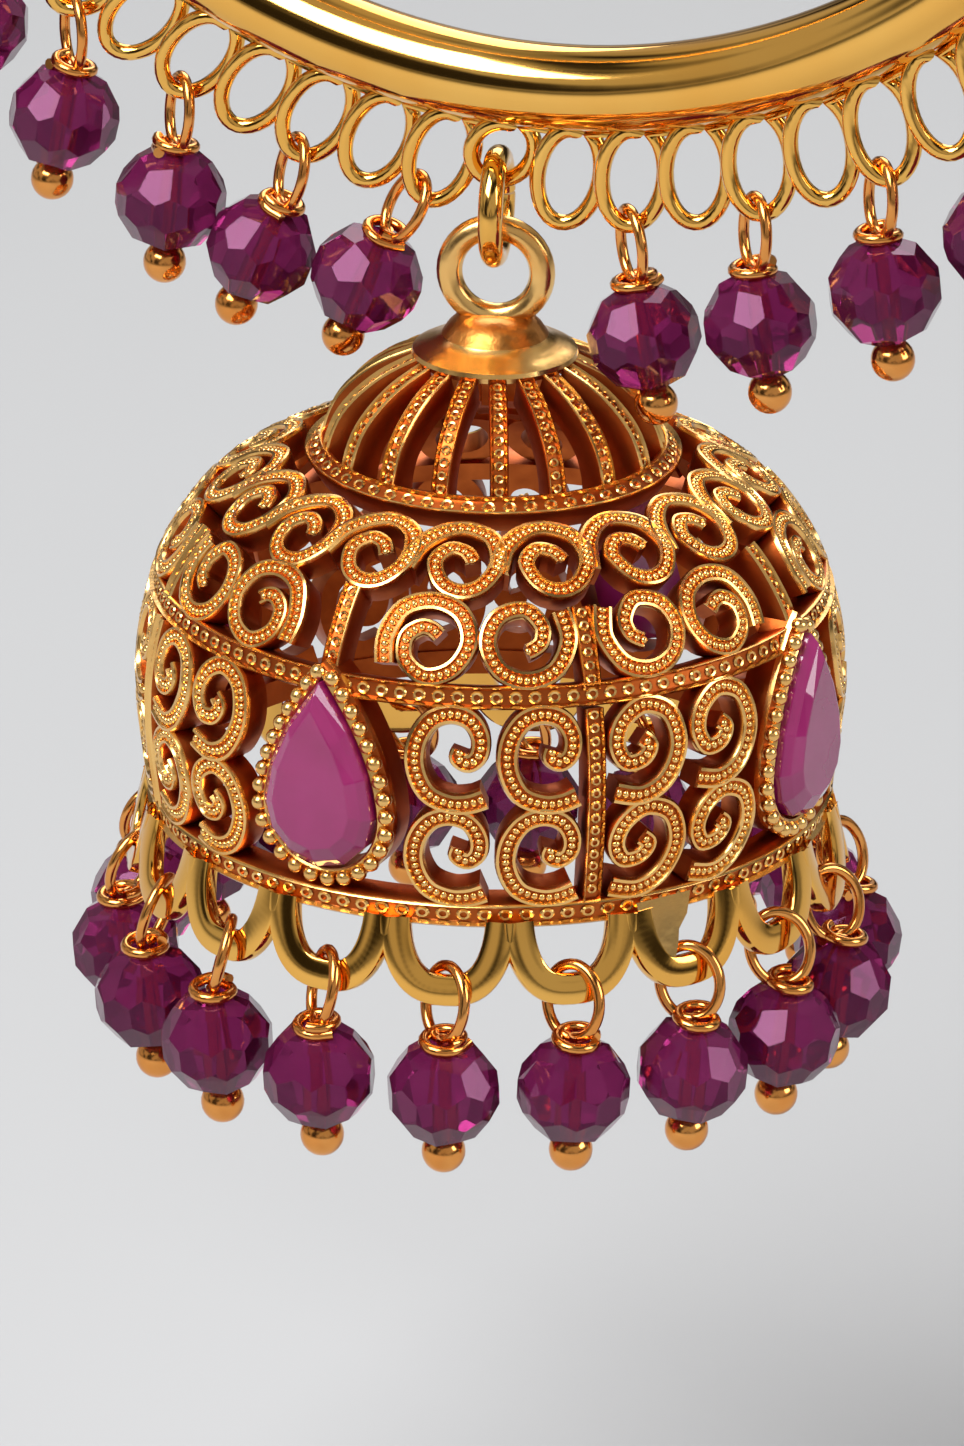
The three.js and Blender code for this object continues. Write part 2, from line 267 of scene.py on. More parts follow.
SLEEVE_RADIUS = 2.25 * MM
SLEEVE_LENGTH = 3 * MM
SLEEVE_FIT = 0.1 * MM      # between the sleeve and the tube
SLEEVE_EDGE = 0.2 * MM
POST_RADIUS = 0.4 * MM
POST_ROOT = 0.3 * MM       # what the post runs into the sleeve
POST_EDGE = 0.25 * MM


def joined(name, parts):
    """These objects as one mesh, in the first one's material slots."""
    select_only(*parts)
    bpy.ops.object.join()
    return taken(name)


def bevel_edges(obj, width, segments=2, angle=40):
    """Rounds the sharp edges."""
    rounding = obj.modifiers.new("rounding", "BEVEL")
    rounding.width = width
    rounding.segments = segments
    rounding.angle_limit = math.radians(angle)
    select_only(obj)
    bpy.ops.object.modifier_apply(modifier="rounding")
    return obj


bpy.ops.mesh.primitive_cylinder_add(radius=SLEEVE_RADIUS, depth=SLEEVE_LENGTH, vertices=48,
                                    end_fill_type="NOTHING", rotation=(0, math.pi / 2, 0))
bpy.ops.object.transform_apply(location=False, rotation=True, scale=False)
sleeve = taken("ear_sleeve")
wall = sleeve.modifiers.new("wall", "SOLIDIFY")
wall.thickness = SLEEVE_RADIUS - HOOP_TUBE - SLEEVE_FIT
wall.offset = -1
bpy.ops.object.modifier_apply(modifier="wall")
bevel_edges(sleeve, SLEEVE_EDGE)
post_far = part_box("ear_post")[1][1] - link_centre.y
bpy.ops.mesh.primitive_cylinder_add(radius=POST_RADIUS, depth=post_far - SLEEVE_RADIUS + POST_ROOT,
                                    vertices=24, rotation=(-math.pi / 2, 0, 0),
                                    location=(0, (post_far + SLEEVE_RADIUS - POST_ROOT) / 2, 0))
bpy.ops.object.transform_apply(location=True, rotation=True, scale=False)
post = bevel_edges(taken("ear_pin"), POST_EDGE, 3)
ear_post = joined("ear_post_finished", [sleeve, post])
ear_post.data.transform(Matrix.Translation((0, link_centre.y, 0)))
smooth(give(ear_post, polished_gold))
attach(ear_post, "hoop")
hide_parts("ear_post")

# --- Jump ring -------------------------------------------------------------------------
# A round link of thick plated wire in the coil's lowest turn, closed by hand, so its two
# cut ends meet at the side.

JUMP_RADIUS = 1.8 * MM
JUMP_WIRE = 0.45 * MM
JUMP_CUT = 4        # degrees that the cut is open
JUMP_STEPS = 72
LINK_TURN = 18.5    # degrees that the ring is turned out of the YZ plane

ring_angles = [math.radians(JUMP_CUT / 2 + (360 - JUMP_CUT) * step / JUMP_STEPS)
               for step in range(JUMP_STEPS + 1)]
ring_place = Matrix.Translation(link_centre) @ Matrix.Rotation(math.radians(LINK_TURN), 4, "Z")
jump_ring = wire("jump_ring_finished", [
    ring_place @ Vector((0, JUMP_RADIUS * math.cos(angle), JUMP_RADIUS * math.sin(angle)))
    for angle in ring_angles], JUMP_WIRE, sides=6)
smooth(give(jump_ring, polished_gold))
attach(jump_ring, "link")
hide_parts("jump_ring")

# --- Bead drops ------------------------------------------------------------------------
# A 4 mm round glass bead, its facets ground in belts, on a copper-gold head pin. The pin's
# ball carries the bead, and its other end is bent to an eye and wrapped on the bead's top.

BEAD_RADIUS = 2 * MM
EYE_HALF_WIDTH = 1.1 * MM
EYE_HALF_HEIGHT = 1.35 * MM
EYE_WIRE = 0.25 * MM        # radius of the shaft, and the room that the eye's wire is given
PIN_WIRE = 0.21 * MM        # radius of the wire in the eye and the wrap
EYE_SINK = 0.2 * MM         # what the eye's foot stands in the wrap
EYE_STEPS = 40
FIT_GAP = 0.06 * MM
WRAP_RADIUS = 0.7 * MM
WRAP_TOP = 0.26 * MM        # above the bead's top
WRAP_PITCH = 0.05 * MM      # that the wrap comes down in a radian
WRAP_STEP = 18              # degrees
WRAP_POINTS = 23
CUT_END_LENGTH = 2.2        # of a step, that the wrap's cut end runs on for
CUT_END_RISE = 0.1 * MM
SHAFT_SPARE = 0.4 * MM      # what the shaft is longer than the bead
BALL_RADIUS = 0.8 * MM
BALL_DROP = 0.68            # of its radius that the ball's middle is under the bead
# Belts of facets: height of the belt in degrees, facets in it, and the turn of its first one.
BEAD_BELTS = [(0, 10, 0), (33, 10, 18), (-33, 10, 18), (62, 5, 0), (-62, 5, 0)]
# Of the bead's radius: how far out its blank, its facets and its flat ends are.
BEAD_BLANK = 1.25
FACET_REACH = 0.96
END_REACH = 0.97

# Crystal glass, coloured in the mass: dark where it is deep, lilac where a facet shines.
plum_glass = new_material("crystal_glass_plum")
plum, _ = mottled(plum_glass, "#8A2A60", "#6A1648", patch_mm=1.5, detail=2)
finish_material(plum_glass, add_node(
    plum_glass, "ShaderNodeBsdfPrincipled",
    {"Roughness": 0.05, "IOR": 1.48, "Transmission Weight": 0.75,
     "Specular Tint": linear("#E0A0CC")},
    {"Base Color": plum}))
# Copper-rich gold plate on soft brass wire: redder than the hoop, with drawn-wire softness.
wire_gold = gold_material("gold_plate_wire", "#F0AE62", "#DB8438", roughness=0.16,
                          patch_mm=1.2, dent_mm=0.8, dent_depth_mm=0.004)

bpy.ops.object.select_all(action="DESELECT")
bpy.ops.mesh.primitive_ico_sphere_add(radius=BEAD_BLANK * BEAD_RADIUS, subdivisions=2)
bead_model = taken("bead_model")
bpy.ops.object.mode_set(mode="EDIT")
for height, count, first in BEAD_BELTS:
    for facet in range(count):
        turn = math.radians(first + 360 * facet / count)
        rise = math.radians(height)
        normal = Vector((math.cos(rise) * math.cos(turn), math.cos(rise) * math.sin(turn),
                         math.sin(rise)))
        bpy.ops.mesh.select_all(action="SELECT")
        bpy.ops.mesh.bisect(plane_co=normal * BEAD_RADIUS * FACET_REACH, plane_no=normal,
                            use_fill=True, clear_outer=True)
for end in (-1, 1):
    bpy.ops.mesh.select_all(action="SELECT")
    bpy.ops.mesh.bisect(plane_co=(0, 0, end * BEAD_RADIUS * END_REACH), plane_no=(0, 0, end),
                        use_fill=True, clear_outer=True)
bpy.ops.object.mode_set(mode="OBJECT")
bead_model.data.transform(Matrix.Translation((0, 0, -BEAD_RADIUS)))

eye_centre = -EYE_HALF_HEIGHT + EYE_WIRE + FIT_GAP
eye_model = wire("eye_model", [
    (0, EYE_HALF_WIDTH * math.cos(angle), eye_centre + EYE_HALF_HEIGHT * math.sin(angle))
    for angle in (2 * math.pi * step / EYE_STEPS for step in range(EYE_STEPS))
], PIN_WIRE, closed=True)
wrap_points = [
    Vector((WRAP_RADIUS * math.cos(turn), WRAP_RADIUS * math.sin(turn), WRAP_TOP - WRAP_PITCH * turn))
    for turn in (math.radians(WRAP_STEP * step) for step in range(WRAP_POINTS))
]
last_step = wrap_points[-1] - wrap_points[-2]
cut_end = wrap_points[-1] + last_step * CUT_END_LENGTH + Vector((0, 0, CUT_END_RISE))
wrap_model = wire("wrap_model", wrap_points + [cut_end], PIN_WIRE)
bpy.ops.mesh.primitive_cylinder_add(radius=EYE_WIRE, depth=2 * BEAD_RADIUS + SHAFT_SPARE, vertices=12,
                                    location=(0, 0, -BEAD_RADIUS))
bpy.ops.object.transform_apply(location=True)
shaft = taken("shaft")
bpy.ops.mesh.primitive_uv_sphere_add(radius=BALL_RADIUS, segments=24, ring_count=14,
                                     location=(0, 0, -2 * BEAD_RADIUS - BALL_RADIUS * BALL_DROP))
bpy.ops.object.transform_apply(location=True)
pin_model = joined("pin_model", [wrap_model, shaft, taken("ball")])


def copy_of(model, name, place):
    """A copy with its own mesh, moved to its place in the mesh itself."""
    copy = placed(name, model.data.copy())
    copy.data.transform(place)
    return copy


def lean_towards_x(degrees):
    """A turn that swings what hangs down this far towards +X."""
    return Matrix.Rotation(-math.radians(degrees), 4, "Y")


def make_drop(node, body, place, hung_bar, eye_yaw, eye_lean, bead_lean, bead_turn):
    """Builds one drop whose eye hangs on a bar of this radius, and lets it stand for its node."""
    eye_drop = Matrix.Translation((0, 0, hung_bar))
    eye_place = place @ lean_towards_x(eye_lean) @ Matrix.Rotation(math.radians(eye_yaw), 4, "Z")
    eye = copy_of(eye_model, "eye", eye_place @ eye_drop)
    reach = 2 * EYE_HALF_HEIGHT - hung_bar - FIT_GAP - EYE_SINK
    top = lean_towards_x(eye_lean) @ Vector((0, 0, -reach))
    stack = place @ Matrix.Translation(top) @ lean_towards_x(bead_lean)
    stack = stack @ Matrix.Rotation(math.radians(bead_turn), 4, "Z")
    pin = joined(f"{node}_pin", [eye, copy_of(pin_model, "pin", stack)])
    smooth(give(pin, wire_gold), 60)
    bead = give(copy_of(bead_model, f"{node}_bead", stack), plum_glass)
    for piece in (pin, bead):
        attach(piece, body)
    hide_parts(node)


# The hoop's drops: which turn of the coil each hangs on, and how its eye and bead lean
# towards +X. Those beside the bell's neck lean away from it, so the bell clears them as it
# swings, and their neighbours lean with them.
HOOP_DROPS = [
    (-11, 0, 0), (-9, 0, 0), (-7, 0, -12), (-5, -7, -6), (-3, -18, -24), (-1, -36, -22),
    (2, 6, 12), (4, -2, 10), (6, -2, 9), (8, 0, 4), (10, 0, 0), (12, 0, 0),
]
TURN_END_RADIUS = 1.05 * MM      # how round a turn's outer end is, where an eye slides along it
HOOP_EYE_YAW = 46
BEAD_TURN_STEP = 47              # degrees that each bead is turned on from the one before

for number, (turn, eye_lean, bead_lean) in enumerate(HOOP_DROPS, 1):
    angle = 2 * math.pi * turn / COIL_TURNS
    reach = turn_circle + TURN_HALF_HEIGHT - TURN_END_RADIUS
    lean = math.radians(eye_lean)
    hook = hoop_centre + Vector((reach * math.sin(angle), 0, -reach * math.cos(angle)))
    hook += TURN_END_RADIUS * Vector((math.sin(lean), 0, -math.cos(lean)))
    make_drop(f"hoop_drop_{number:02d}", "hoop", Matrix.Translation(hook), COIL_WIRE,
              HOOP_EYE_YAW, eye_lean, bead_lean, BEAD_TURN_STEP * number)

# --- Bell: top ring and cap ------------------------------------------------------------
# The top of the bell's brass casting: a thick ring, rough-filed so that it keeps flats, and
# a flared cap under it, whose cone was left as it came from the mould. The bell hangs a
# little turned on its link.

TOP_RING_RADIUS = 1.7 * MM
BELL_DATUM = 1.55 * MM      # from the top of the ring's centre line down to the bell's own level
TOP_RING_WIRE = 0.5 * MM
TOP_RING_EDGE = 0.1 * MM
BELL_TURN = -2              # degrees
# Radius and depth of the cap's outline, in millimetres.
CAP_PROFILE = [(0.0, 1.7), (0.9, 1.72), (1.4, 1.85), (1.72, 2.15), (1.95, 2.5), (2.3, 2.74),
               (2.7, 2.9), (3.0, 3.06), (3.05, 3.22), (2.9, 3.45), (2.2, 3.7), (0.0, 3.7)]
CAP_EDGE = 2.6 * MM         # depth down to which the cone is rough

ring_hang = JUMP_WIRE + FIT_GAP + TOP_RING_WIRE - JUMP_RADIUS
bell_centre = link_centre + Vector((0, 0, ring_hang - BELL_DATUM))
bell_place = Matrix.Translation(bell_centre) @ Matrix.Rotation(math.radians(BELL_TURN), 4, "Z")

# Cast brass, gold-plated and only tumbled: a soft, broken shine over small dents.
cast_gold = gold_material("gold_plate_cast", "#FFD58A", "#E2A24E", roughness=0.22,
                          patch_mm=2.0, dent_mm=0.8, dent_depth_mm=0.02)
# The same plate on the mould's own grainy skin: darker and blotched.
rough_gold = gold_material("gold_plate_as_cast", "#E8A050", "#A45E26", roughness=0.32,
                           patch_mm=0.9, dent_mm=0.4, dent_depth_mm=0.03)
# Copper-dark antiquing in the channels, and painted shade on the strips' side walls and backs; both
# set off the bright edges.
antiqued_and_painted_shade_gold = gold_material("gold_plate_antiqued_and_painted_shade", "#C8682E", "#8A3A16", roughness=0.35,
                            patch_mm=1.0, dent_mm=0.5, dent_depth_mm=0.01)


def turned(name, profile, steps=96):
    """A body of revolution about Z from (radius, depth) points in millimetres."""
    bpy.ops.object.select_all(action="DESELECT")
    bpy.ops.mesh.primitive_plane_add(size=1)
    obj = taken(name)
    obj.data.clear_geometry()
    obj.data.from_pydata([(r * MM, 0, -d * MM) for r, d in profile],
                         [(i, i + 1) for i in range(len(profile) - 1)], [])
    bpy.ops.object.mode_set(mode="EDIT")
    bpy.ops.mesh.select_all(action="SELECT")
    bpy.ops.mesh.spin(steps=steps, angle=2 * math.pi, center=(0, 0, 0), axis=(0, 0, 1))
    bpy.ops.mesh.select_all(action="SELECT")
    bpy.ops.mesh.remove_doubles(threshold=1e-6)
    bpy.ops.mesh.normals_make_consistent(inside=False)
    bpy.ops.object.mode_set(mode="OBJECT")
    return obj


bell_cap = turned("bell_cap", CAP_PROFILE)
bpy.ops.mesh.primitive_torus_add(major_radius=TOP_RING_RADIUS, minor_radius=TOP_RING_WIRE,
                                 major_segments=40, minor_segments=8, rotation=(math.pi / 2, 0, 0))
bpy.ops.object.transform_apply(rotation=True)
top_ring = bevel_edges(taken("top_ring"), TOP_RING_EDGE, 2, 30)
top_ring.data.transform(Matrix.Translation((0, 0, BELL_DATUM - TOP_RING_RADIUS))
                        @ Matrix.Rotation(math.radians(LINK_TURN - BELL_TURN), 4, "Z"))
give(bell_cap, cast_gold, rough_gold)
for face in bell_cap.data.polygons:
    if face.center.z > -CAP_EDGE:
        face.material_index = 1
bell_top = joined("bell_top", [bell_cap, give(top_ring, cast_gold)])
bell_top.data.transform(bell_place)
smooth(bell_top, 35)
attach(bell_top, "bell")
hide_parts("bell_dome")

# --- Bell: ribs and rib ring -----------------------------------------------------------
# The casting's open dome: curved ribs run from the cap down to a ring. Each is a deep strip
# with two raised edges and a row of punched rings between them.

RIBS = 18
RIB_TURN = 10             # degrees
RIB_HALF = 0.35
RIB_SINK = 0.27 * MM      # keeps the ribs clear of the drops beside the neck when the bell swings
# Outer line of the ribs, and a narrow slope for their ring: radius and depth under the top
# ring's middle, in millimetres.
RIB_LINE = [(3.0, 3.15), (4.2, 3.7), (5.15, 4.4), (5.85, 5.2), (6.25, 6.1), (6.4, 6.95)]
RING_LINE = [(6.15, 6.6), (6.45, 6.85), (6.85, 7.1)]
RIB_RING_DEPTH = 6.87
# Cross-section of a punched strip: two raised edges and a channel. Across it is in halves of
# the strip's width, and up is in millimetres.
STRIP_SECTION = [(-1, -1.0), (-1, 0.14), (-0.8, 0.23), (-0.58, 0.02), (0.58, 0.02), (0.8, 0.23),
                 (1, 0.14), (1, -1.0)]
STRIP_STEPS = 16
DARK_LEVELS = (0, 3, 6, 7)       # the section's sides and back, in painted shade, and its antiqued channel
BAND_STEPS = 144
WALL_TOP = -0.1 * MM             # a strip's side walls get painted shade below this
FACES_OUT = 0.9                  # of a face's normal that is upright when it is a channel's floor
RINGLET = 0.18
RINGLET_HEIGHT = 0.06
RINGLET_WIDE = 1.15              # how much broader than thick a band's ringlets are
RIB_RINGLETS = 0.5               # from one ringlet to the next, on a rib
WALL_STEPS = 12                  # points of a wall's line between two of its knots


def rounded_line(knots, steps):
    """A smooth line through these points."""
    ends = [knots[0], *knots, knots[-1]]
    line = []
    for before, start, end, after in zip(ends, ends[1:], ends[2:], ends[3:]):
        for step in range(steps):
            t = step / steps
            line.append(tuple(
                0.5 * (2 * b + (c - a) * t + (2 * a - 5 * b + 4 * c - d) * t ** 2
                       + (3 * b - a - 3 * c + d) * t ** 3)
                for a, b, c, d in zip(before, start, end, after)))
    return line + [tuple(knots[-1])]


def wall_shape(knots):
    """A turned wall: its smooth line, and how far down the line each of its points lies."""
    line = rounded_line(knots, WALL_STEPS)
    runs = [0.0]
    for (r0, d0), (r1, d1) in zip(line, line[1:]):
        runs.append(runs[-1] + math.hypot(r1 - r0, d1 - d0))
    return line, runs


def on_wall(shape, azimuth, run, height):
    """Point this far down a wall's line and this far out of it."""
    line, runs = shape
    index = min(max(bisect_right(runs, run) - 1, 0), len(line) - 2)
    (r0, d0), (r1, d1) = line[index], line[index + 1]
    length = runs[index + 1] - runs[index]
    part = (run - runs[index]) / length
    across, down = (r1 - r0) / length, (d1 - d0) / length
    radius = r0 + (r1 - r0) * part + height * down
    depth = d0 + (d1 - d0) * part - height * across
    return Vector((radius * math.sin(azimuth), -radius * math.cos(azimuth), -depth)) * MM


def run_at(shape, depth):
    """How far down the wall's line this depth lies."""
    line, runs = shape
    index = next(i for i, (_, d) in enumerate(line) if d >= depth)
    (_, d0), (_, d1) = line[index - 1], line[index]
    return runs[index - 1] + (depth - d0) / (d1 - d0) * (runs[index] - runs[index - 1])


def radius_at(shape, run):
    """The wall's radius this far down its line."""
    line, runs = shape
    return next((r for (r, _), length in zip(line, runs) if length >= run), line[-1][0])


def laid_on(shape, drawing, azimuth, depth, mirrored=False):
    """A copy of a flat drawing, laid on a wall round this point."""
    middle = run_at(shape, depth)
    piece = copy_of(drawing, "laid", Matrix.Identity(4))
    for vertex in piece.data.vertices:
        x, y, z = vertex.co / MM
        run = middle - y
        sideways = (-x if mirrored else x) / radius_at(shape, run)
        vertex.co = on_wall(shape, math.radians(azimuth) + sideways, run, z)
    if mirrored:
        piece.data.flip_normals()
    return piece


def section_curve(name, section):
    """A closed outline that a bar is drawn out with."""
    obj, _ = polyline(name, [(across * MM, up * MM, 0) for across, up in section], True)
    obj.data.dimensions = "2D"
    return obj


def ribbon(name, path, outline, closed=False, widths=None):
    """A bar of this outline along a flat path in millimetres."""
    obj, spline = polyline(name, [(x * MM, y * MM, 0) for x, y in path], closed)
    obj.data.twist_mode = "Z_UP"
    obj.data.bevel_mode = "OBJECT"
    obj.data.bevel_object = outline
    for knot, width in zip(spline.points, widths or []):
        knot.radius = width
    select_only(obj)
    bpy.ops.object.convert(target="MESH")
    return taken(name)


def line_up(points, spacing):
    """Points at equal distances along a flat path, with the path's direction there."""
    places, carried = [], spacing / 2
    for (x0, y0), (x1, y1) in zip(points, points[1:]):
        length = math.hypot(x1 - x0, y1 - y0)
        while carried < length:
            part = carried / length
            places.append((x0 + part * (x1 - x0), y0 + part * (y1 - y0),
                           math.atan2(y1 - y0, x1 - x0)))
            carried += spacing
        carried -= length
    return places


def faceted(name, points, faces):
    """A mesh of these points and faces."""
    mesh = bpy.data.meshes.new(name)
    mesh.from_pydata(points, [], faces)
    return placed(name, mesh)


def repeated(name, model, places):
    """One mesh that holds the model at each place."""
    corners = [vertex.co.copy() for vertex in model.data.vertices]
    faces = [tuple(face.vertices) for face in model.data.polygons]
    points, polygons = [], []
    for place in places:
        first = len(points)
        points += [place @ corner for corner in corners]
        polygons += [tuple(first + index for index in face) for face in faces]
    return faceted(name, points, polygons)


def row_along(path, model, spacing, size, height, across=1.0):
    """A row of dots along a flat path."""
    return give(repeated("row", model, [
        Matrix.Translation((x * MM, y * MM, height * MM)) @ Matrix.Rotation(angle, 4, "Z")
        @ Matrix.Diagonal((size * MM, size * across * MM, size * MM, 1))
        for x, y, angle in line_up(path, spacing)]), cast_gold)


def antique_channel_and_shade_walls(obj, low, high):
    """Gives the second material slot to the side walls, as painted shade, and to the floor between
    these heights, as antiquing.
    """
    for face in obj.data.polygons:
        channel = low * MM < face.center.z < high * MM and abs(face.normal.z) > FACES_OUT
        if channel or face.center.z < WALL_TOP:
            face.material_index = 1


bpy.ops.mesh.primitive_torus_add(major_radius=0.8, minor_radius=0.32, major_segments=10,
                                 minor_segments=5)
ringlet_model = taken("ringlet_model")
strip_outline = section_curve("strip_outline", [(x * RIB_HALF, y) for x, y in STRIP_SECTION])


def strip_drawing(name, length, spacing):
    """A punched upright strip of this length."""
    path = [(0, length / 2 - length * i / STRIP_STEPS) for i in range(STRIP_STEPS + 1)]
    body = give(ribbon(name, path, strip_outline), cast_gold, antiqued_and_painted_shade_gold)
    antique_channel_and_shade_walls(body, 0.0, 0.1)
    return joined(name, [body, row_along(path, ringlet_model, spacing, RINGLET, RINGLET_HEIGHT)])


def band(name, shape, depth, half, count, long=1.0, thick=1.0):
    """A punched band right round a wall at this depth, with this count of ringlets."""
    run = run_at(shape, depth)
    steps = BAND_STEPS
    points, faces = [], []
    for across, up in STRIP_SECTION:
        height = up if up > 0 else -thick
        points += [on_wall(shape, 2 * math.pi * i / steps, run + across * half, height)
                   for i in range(steps)]
    levels = len(STRIP_SECTION)
    for level in range(levels):
        other = (level + 1) % levels
        for i in range(steps):
            j = (i + 1) % steps
            faces.append((level * steps + i, level * steps + j, other * steps + j, other * steps + i))
    obj = give(faceted(name, points, faces), cast_gold, antiqued_and_painted_shade_gold)
    # The band's sides and back get painted shade, and its channel the antiquing.
    for index, face in enumerate(obj.data.polygons):
        if index // steps in DARK_LEVELS:
            face.material_index = 1
    select_only(obj)
    bpy.ops.object.mode_set(mode="EDIT")
    bpy.ops.mesh.select_all(action="SELECT")
    bpy.ops.mesh.normals_make_consistent(inside=False)
    bpy.ops.object.mode_set(mode="OBJECT")
    places = []
    for i in range(count):
        azimuth = 2 * math.pi * i / count
        foot = on_wall(shape, azimuth, run, RINGLET_HEIGHT)
        out = (on_wall(shape, azimuth, run, 1) - foot).normalized()
        side = Vector((math.cos(azimuth), math.sin(azimuth), 0))
        turn = Matrix((side, out.cross(side), out)).transposed().to_4x4()
        size = (RINGLET * long * MM, RINGLET * RINGLET_WIDE * MM, RINGLET * MM, 1)
        places.append(Matrix.Translation(foot) @ turn @ Matrix.Diagonal(size))
    return [obj, give(repeated("ringlets", ringlet_model, places), cast_gold)]


rib_shape, ring_shape = wall_shape(RIB_LINE), wall_shape(RING_LINE)
rib_model = strip_drawing("rib", rib_shape[1][-1], RIB_RINGLETS)
rib_model.data.transform(Matrix.Translation((0, 0, -RIB_SINK)))
rib_middle = next(d for (_, d), run in zip(*rib_shape) if run >= rib_shape[1][-1] / 2)
rib_copies = [laid_on(rib_shape, rib_model, RIB_TURN + 360 * i / RIBS, rib_middle)
              for i in range(RIBS)]
rib_ring = band("rib_ring", ring_shape, RIB_RING_DEPTH, half=0.42, count=54, long=1.3, thick=0.8)
bell_ribs = joined("bell_ribs", rib_copies + rib_ring)
bell_ribs.data.transform(bell_place)
smooth(bell_ribs, 50)
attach(bell_ribs, "bell")

# --- Bell: shoulder scrolls ------------------------------------------------------------
# Two rows of milled scrolls between the rib ring and the middle band. The first runs round
# like a wave, and the second stands in fours between the struts over the stones.

# Outer line from the rib ring to the rim: radius and depth.
BELL_LINE = [(6.4, 6.95), (7.8, 7.35), (9.2, 8.0), (10.5, 8.95), (11.5, 10.2), (12.2, 11.6),
             (12.8, 14.0), (12.9, 16.5), (12.55, 19.5), (12.45, 20.6)]
# Cross-section of a scroll: two rounded borders and a channel for the milled grains between.
SCROLL_SECTION = [(-0.37, -0.9), (-0.39, 0.06), (-0.33, 0.21), (-0.23, 0.23), (-0.17, 0.08),
                  (0.17, 0.08), (0.23, 0.23), (0.33, 0.21), (0.39, 0.06), (0.37, -0.9)]
SCROLL_TAPER = 0.2               # of its width that a scroll loses on its way in
SCROLL_STEPS = 5                 # points of a scroll between two of its knots
GRAIN_SPACING = 0.27
GRAIN_RADIUS = 0.13
GRAIN_HEIGHT = 0.09
GRAIN_WIDE = 1.25                # how much broader than long a grain is
WAVE_COUNT = 18
WAVE_TURN = 1.5                  # degrees
WAVE_TALL = 1.22                 # what a wave is drawn out in height
WAVE_DEPTH = 8.02
CURL_DEPTH = 10.1
SECTORS = 4
BAR_AZIMUTHS = (45, 135, 225, 315)
CURL_OFFSETS = (10.9, 27.9)      # degrees from the bar to the middles of the curls beside it

bell_shape = wall_shape(BELL_LINE)
scroll_outline = section_curve("scroll_outline", SCROLL_SECTION)
bpy.ops.mesh.primitive_uv_sphere_add(segments=8, ring_count=6, radius=1)
grain_model = taken("grain_model")
bpy.ops.object.mode_set(mode="EDIT")
bpy.ops.mesh.select_all(action="SELECT")
bpy.ops.mesh.bisect(plane_co=(0, 0, -0.2), plane_no=(0, 0, -1), clear_outer=True)
bpy.ops.object.mode_set(mode="OBJECT")


def scroll_drawing(name, knots, outline=scroll_outline):
    """A milled scroll through these points, that narrows towards its inner end."""
    path = rounded_line(knots, SCROLL_STEPS)
    widths = [1 - SCROLL_TAPER * index / (len(path) - 1) for index in range(len(path))]
    body = give(ribbon(name, path, outline, widths=widths), cast_gold, antiqued_and_painted_shade_gold)
    antique_channel_and_shade_walls(body, 0.04, 0.14)
    grains = row_along(path, grain_model, GRAIN_SPACING, GRAIN_RADIUS, GRAIN_HEIGHT, GRAIN_WIDE)
    return joined(name, [body, grains])


def wound(turns):
    """Points from pairs of an angle in degrees and a reach."""
    return [(reach * math.cos(math.radians(angle)), reach * math.sin(math.radians(angle)))
            for angle, reach in turns]


# The wave's scroll starts on its neighbour's side, passes over the top and winds in.
wave = scroll_drawing("wave", [(x, WAVE_TALL * y) for x, y in wound([
    (188, 2.05), (160, 1.68), (125, 1.45), (90, 1.38), (45, 1.32), (0, 1.26), (-45, 1.1), (-90, 1.0),
    (-135, 1.0), (-180, 0.98), (-225, 0.72), (-270, 0.44), (-315, 0.34), (-350, 0.36)])])
# Outer curl, with its tail at the stone's side, and inner curl, with its tail at the bar.
curl_out = scroll_drawing("curl_out", wound([
    (212, 1.85), (180, 1.6), (135, 1.5), (90, 1.42), (45, 1.42), (0, 1.4), (-45, 1.34), (-90, 1.3),
    (-135, 1.12), (-180, 0.86), (-225, 0.58), (-270, 0.4), (-330, 0.36)]))
curl_in = scroll_drawing("curl_in", wound([
    (40, 1.68), (0, 1.52), (-45, 1.44), (-90, 1.36), (-135, 1.38), (-180, 1.36), (-225, 1.3),
    (-270, 1.18), (-315, 0.82), (-360, 0.55), (-405, 0.36), (-440, 0.34)]))

shoulder = [laid_on(bell_shape, wave, WAVE_TURN + 360 * i / WAVE_COUNT, WAVE_DEPTH)
            for i in range(WAVE_COUNT)]
for bar in BAR_AZIMUTHS:
    for offset, drawing in zip(CURL_OFFSETS, (curl_in, curl_out)):
        shoulder.append(laid_on(bell_shape, drawing, bar - offset, CURL_DEPTH))
        shoulder.append(laid_on(bell_shape, drawing, bar + offset, CURL_DEPTH, mirrored=True))
bell_shoulder = joined("bell_shoulder", shoulder)
bell_shoulder.data.transform(bell_place)
smooth(bell_shoulder, 50)
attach(bell_shoulder, "bell")

# --- Bell: panels beside the stones ----------------------------------------------------
# Two by two broad C-scrolls on each side of every upright bar. Those before the bar end in
# a short hook, and those after it wind in further.

PANEL_DEPTHS = (13.95, 17.7)
PANEL_OFFSETS = (8.9, 23.6)      # degrees from the bar
PANEL_BROAD = 1.1                # how much broader these scrolls are than the shoulder's

